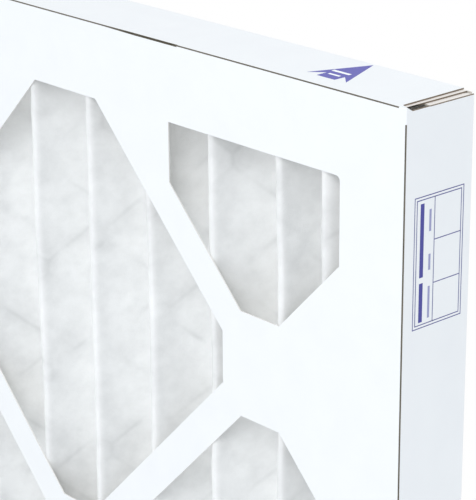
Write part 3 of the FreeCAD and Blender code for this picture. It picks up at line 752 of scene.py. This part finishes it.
# Galvanised steel: grey zinc with faint spangles, duller in places.
def makeGridMaterial():
    material, tree = newMaterial("galvanised_steel")
    spot = addNode(tree, "ShaderNodeTexCoord")
    spangle = addNode(tree, "ShaderNodeTexVoronoi", {"Vector": spot.outputs["Object"],
                                                     "Scale": 1 / expandedMetal["spangle"]})
    tint = addNode(tree, "ShaderNodeMix", spangle.outputs["Distance"], colour(expandedMetal["zinc"]),
                   colour(expandedMetal["zincDark"]), data_type="RGBA")
    cloud = addNode(tree, "ShaderNodeTexNoise", {"Vector": spot.outputs["Object"],
                                                 "Scale": 1 / expandedMetal["dullness"]})
    dull = addNode(tree, "ShaderNodeMapRange", {"Value": cloud, "To Min": 0.32, "To Max": 0.55})
    surface = addNode(tree, "ShaderNodeBsdfPrincipled", {"Base Color": tint, "Metallic": 1.0,
                                                         "Roughness": dull})
    addNode(tree, "ShaderNodeOutputMaterial", {"Surface": surface})
    return material


corners = pleatCorners(pleatBends())
total, places = pleatLineLength(corners)
firstColumn, firstRow = firstOpening(places)
gridPiece = makeGrid(corners, total, firstColumn, firstRow, makeGridMaterial())
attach(gridPiece, "root")
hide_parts("support_grid")
print("grid folded:", len(gridPiece.data.polygons), "faces")

mediaPiece = makeMedia(corners, makeMediaMaterial(firstColumn, firstRow))
for polygon in mediaPiece.data.polygons:
    polygon.use_smooth = len(polygon.vertices) == 4  # all but the sheet's two ends
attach(mediaPiece, "root")
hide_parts("pleated_media")
print("media folded:", len(mediaPiece.data.polygons), "faces, sheet length", round(total, 4))


# Print on the flaps: an arrow on top that shows the way of the air, and a panel on the side for
# three dates. Plain bars stand where words would be.

printing = {
    "lift": 0.02 * mm,
    "arrowInk": "#4A48A6",
    "lineInk": "#45478A",
    "wordInk": "#3F3F93",
    "paleInk": "#9699C0",
    "bare": "#F6F8F9",
    "inkCloud": 1.5 * mm,
    "inkPaler": 1.15,
}


# Flat ink, a little uneven where the board took it badly.
def makeInkMaterial(name, code):
    material, tree = newMaterial(name)
    spot = addNode(tree, "ShaderNodeTexCoord")
    uneven = addNode(tree, "ShaderNodeTexNoise", {"Vector": spot.outputs["Object"],
                                                  "Scale": 1 / printing["inkCloud"],
                                                  "Detail": 3.0})
    pale = [channel * printing["inkPaler"] for channel in colour(code)[:3]] + [1]
    tint = addNode(tree, "ShaderNodeMix", uneven, colour(code), pale, data_type="RGBA")
    surface = addNode(tree, "ShaderNodeBsdfPrincipled", {"Base Color": tint, "Roughness": 0.45})
    addNode(tree, "ShaderNodeOutputMaterial", {"Surface": surface})
    return material


# Flat shapes on a flap: each outline is a list of points that place() puts there.
def printShapes(name, outlines, place, material, layer=1):
    shapes = bmesh.new()
    for outline in outlines:
        shapes.faces.new([shapes.verts.new(place(*point, layer * printing["lift"])) for point in outline])
    mesh = bpy.data.meshes.new(name)
    shapes.to_mesh(mesh)
    shapes.free()
    mesh.materials.append(material)
    piece = newObject(name, mesh)
    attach(piece, "root")


# Point on the top flap, measured left from the right edge and back from the front edge.
def onTop(along, back, lift):
    return Vector((halfWidth - along, back - halfDepth, height + lift))


# Point on the right flap, measured back from the front edge and down from the top.
def onSide(back, down, lift):
    return Vector((halfWidth + lift, back - halfDepth, height - down))


# Outline of one bar from its four sides.
def bar(left, right, near, far):
    return [(left, near), (left, far), (right, far), (right, near)]


# Four thin bars round a box.
def boxLines(near, far, top, foot, width):
    return [bar(near, far, top, top + width), bar(near, far, foot - width, foot),
            bar(near, near + width, top + width, foot - width),
            bar(far - width, far, top + width, foot - width)]


arrow = {  # in from the right edge, back from the front
    "middle": 62.4 * mm,
    "tip": 43 * mm,
    "barb": 11.6 * mm,
    "barbReach": 13.1 * mm,
    "notch": 18 * mm,
    "base": 11.2 * mm,
    "shaftReach": 6 * mm,
    "words": ((57.6 * mm, 69.2 * mm, 21.6 * mm, 23.8 * mm), (59 * mm, 66.4 * mm, 16.4 * mm, 18.2 * mm)),
}
outline = [(arrow["middle"], arrow["tip"])]
for side, order in ((-1, 1), (1, -1)):
    half = [(arrow["middle"] + side * arrow["barbReach"], arrow["barb"]),
            (arrow["middle"] + side * arrow["shaftReach"], arrow["notch"]),
            (arrow["middle"] + side * arrow["shaftReach"], arrow["base"])]
    outline += half[::order]
printShapes("flow_arrow", [outline], onTop, makeInkMaterial("violet_ink", printing["arrowInk"]))
printShapes("flow_arrow_bars", [bar(*word) for word in arrow["words"]], onTop,
            makeInkMaterial("bare_board_white", printing["bare"]), layer=2)

panel = {  # back from the front edge, down from the top
    "near": 6.7 * mm,
    "far": 39.6 * mm,
    "top": 43.2 * mm,
    "foot": 107.4 * mm,
    "gap": 1.5 * mm,
    "line": 0.47 * mm,
    "divider": 19.9 * mm,
    "rows": (65.4 * mm, 86.5 * mm),
    "title": (10.7 * mm, 13.2 * mm),
    "titleWords": ((46.8 * mm, 82.4 * mm), (85.2 * mm, 104.4 * mm)),
    "label": (16.6 * mm, 18 * mm),
    "labelWords": ((50.4 * mm, 61 * mm), (72 * mm, 79.8 * mm), (87.7 * mm, 103.3 * mm)),
}
inner = [panel["near"] + panel["gap"], panel["far"] - panel["gap"], panel["top"] + panel["gap"],
         panel["foot"] - panel["gap"]]
lines = boxLines(panel["near"], panel["far"], panel["top"], panel["foot"], panel["line"])
lines += boxLines(*inner, panel["line"])
lines.append(bar(panel["divider"], panel["divider"] + panel["line"], inner[2], inner[3]))
for row in panel["rows"]:
    lines.append(bar(panel["divider"] + panel["line"], inner[1], row, row + panel["line"]))
printShapes("date_panel", lines, onSide, makeInkMaterial("slate_ink", printing["lineInk"]))
printShapes("date_panel_title", [bar(*panel["title"], *word) for word in panel["titleWords"]], onSide,
            makeInkMaterial("deep_violet_ink", printing["wordInk"]))
printShapes("date_panel_labels", [bar(*panel["label"], *word) for word in panel["labelWords"]], onSide,
            makeInkMaterial("pale_slate_ink", printing["paleInk"]))
print("print laid on the flaps")


# Floor, lamps and world

studio = {
    "floor": "#F1F2F3",
    "floorRadius": 6.0,
    "floorSides": 96,
    "whiteFrom": 0.5,  # metres out, where the floor starts to fade to white
    "whiteTo": 0.72,
    "world": 0.78,
    "worldTint": "#F7FBFF",
    "key": {"energy": 32, "size": 1.5, "from": (1.0, -2.0, 2.35), "tint": "#FFFFFF"},
    "fill": {"energy": 2.2, "size": 1.4, "from": (1.9, 0.2, 2.0), "tint": "#E6F0FF"},
}


# Rays that look straight at the background or see it in a shiny or clear surface.
def raysThatSee(tree):
    rays = addNode(tree, "ShaderNodeLightPath").outputs
    seen = addNode(tree, "ShaderNodeMath", rays["Is Camera Ray"], rays["Is Glossy Ray"],
                   operation="MAXIMUM")
    return addNode(tree, "ShaderNodeMath", seen, rays["Is Transmission Ray"], operation="MAXIMUM")


# Pale floor that keeps the object's shadow and fades to plain white further out.
def makeFloor():
    material, tree = newMaterial("studio_floor")
    spot = addNode(tree, "ShaderNodeTexCoord")
    reach = addNode(tree, "ShaderNodeVectorMath", {0: spot.outputs["Object"]}, operation="LENGTH")
    far = addNode(tree, "ShaderNodeMapRange", {"Value": reach.outputs["Value"],
                                               "From Min": studio["whiteFrom"],
                                               "From Max": studio["whiteTo"]},
                  interpolation_type="SMOOTHSTEP")
    plain = addNode(tree, "ShaderNodeMath", far, raysThatSee(tree), operation="MULTIPLY")
    pale = addNode(tree, "ShaderNodeBsdfDiffuse", {"Color": colour(studio["floor"])})
    white = addNode(tree, "ShaderNodeEmission", {"Color": (1, 1, 1, 1), "Strength": 1.0})
    mixed = addNode(tree, "ShaderNodeMixShader", {0: plain, 1: pale, 2: white})
    addNode(tree, "ShaderNodeOutputMaterial", {"Surface": mixed})
    disc = bmesh.new()
    bmesh.ops.create_circle(disc, cap_ends=True, segments=studio["floorSides"],
                            radius=studio["floorRadius"])
    mesh = bpy.data.meshes.new("floor")
    disc.to_mesh(mesh)
    disc.free()
    mesh.materials.append(material)
    newObject("floor", mesh)


def makeLamp(name, facts):
    data = bpy.data.lights.new(name, "AREA")
    data.energy = facts["energy"]
    data.size = facts["size"]
    data.color = colour(facts["tint"])[:3]
    lamp = newObject(name, data)
    lamp.location = facts["from"]
    aim = Vector((0, 0, middleZ)) - lamp.location
    lamp.rotation_euler = aim.to_track_quat("-Z", "Y").to_euler()


def makeWorld():
    world = bpy.data.worlds.new("studio")
    world.use_nodes = True
    tree = world.node_tree
    tree.nodes.clear()
    soft = addNode(tree, "ShaderNodeBackground", {"Color": colour(studio["worldTint"]),
                                                  "Strength": studio["world"]})
    white = addNode(tree, "ShaderNodeBackground", {"Color": (1, 1, 1, 1), "Strength": 1.0})
    mixed = addNode(tree, "ShaderNodeMixShader", {0: raysThatSee(tree), 1: soft, 2: white})
    addNode(tree, "ShaderNodeOutputWorld", {"Surface": mixed})
    bpy.context.scene.world = world


makeFloor()
makeLamp("key_lamp", studio["key"])
makeLamp("fill_lamp", studio["fill"])
makeWorld()
bpy.context.scene.view_settings.view_transform = "Standard"
print("studio lit")
